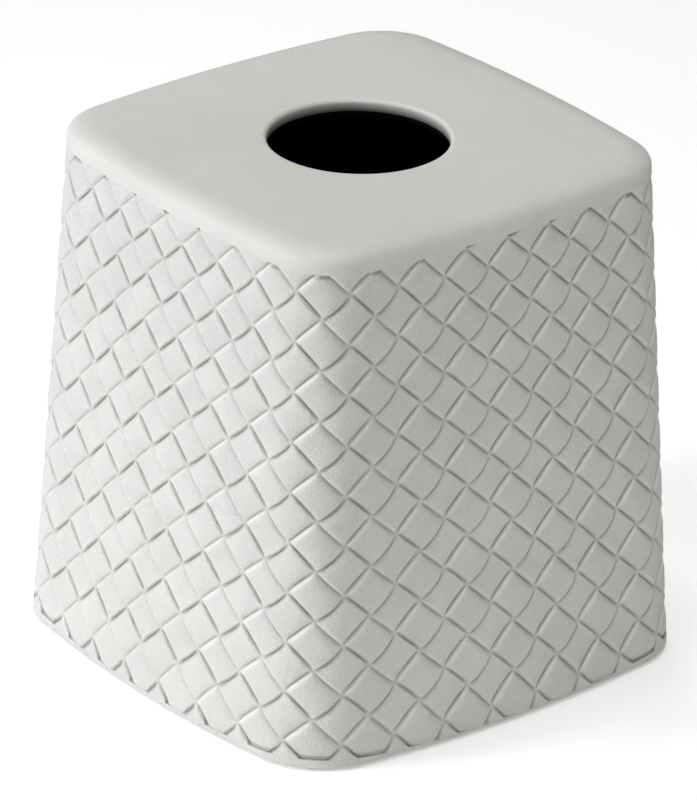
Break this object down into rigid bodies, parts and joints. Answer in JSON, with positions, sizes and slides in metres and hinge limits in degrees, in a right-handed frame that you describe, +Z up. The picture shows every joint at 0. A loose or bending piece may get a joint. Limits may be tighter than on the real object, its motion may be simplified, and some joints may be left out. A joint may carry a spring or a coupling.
{
  "type": "tissue box cover",
  "caption": "Tapering square tissue box cover with a smooth cap, a round dispensing opening and a moulded basket-weave wall, open below.",
  "frame": {"origin": "bottom centre, on the plane where the foot pads stand", "axes": "+Z up through the round opening, X and Y square to the four walls"},
  "size_m": [0.148, 0.148, 0.1507],
  "materials": {
    "cap_plastic": "off-white, fine leather-like grain",
    "wall_plastic": "off-white, fine leather-like grain over a moulded basket weave",
    "rim_plastic": "off-white, plain satin",
    "carcass_plastic": "black, matt",
    "pad_foam": "dark grey soft foam"
  },
  "bodies": {
    "root": {"inner_carcass": "carcass_plastic", "woven_wall": "wall_plastic", "top_cap": "cap_plastic", "bottom_rim": "rim_plastic", "foot_pad_1": "pad_foam", "foot_pad_2": "pad_foam", "foot_pad_3": "pad_foam", "foot_pad_4": "pad_foam"}
  },
  "joints": []
}
